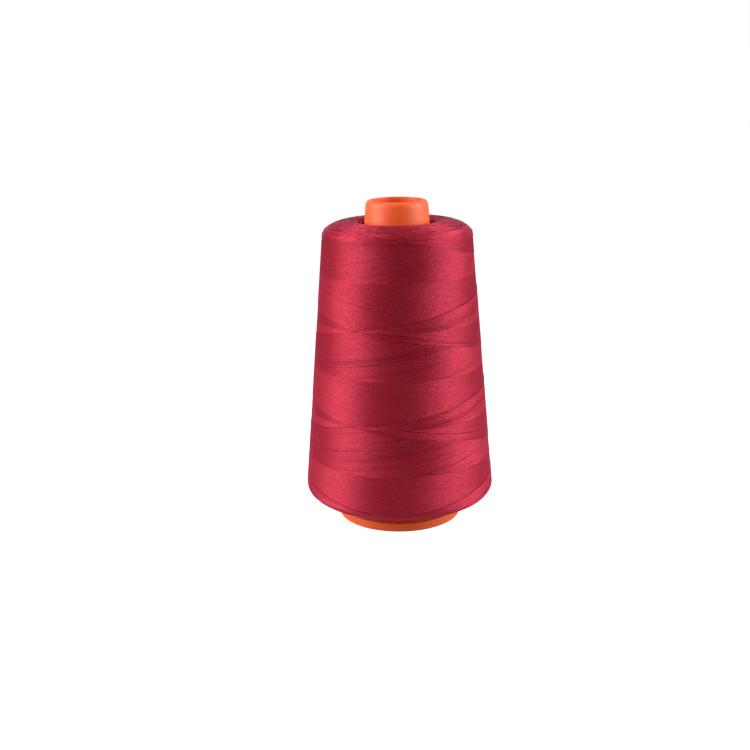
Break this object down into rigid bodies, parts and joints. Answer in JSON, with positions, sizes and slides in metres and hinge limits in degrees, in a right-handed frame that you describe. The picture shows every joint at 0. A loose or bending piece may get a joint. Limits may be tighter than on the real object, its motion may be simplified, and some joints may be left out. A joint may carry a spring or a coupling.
{
  "type": "thread cone",
  "caption": "Tapered cone of cross-wound sewing thread on a hollow plastic core with a flanged base and an open rounded nose.",
  "frame": {"origin": "centre of the base flange's underside, on the axis", "axes": "+Z along the cone's axis, towards the nose; X and Y are level and alike, because both pieces are turned about Z"},
  "size_m": [0.0746, 0.0746, 0.1255],
  "materials": {
    "core_plastic": "satin",
    "cotton_thread": "matte"
  },
  "bodies": {
    "root": {"cone_core": "core_plastic", "thread_package": "cotton_thread"}
  },
  "joints": []
}
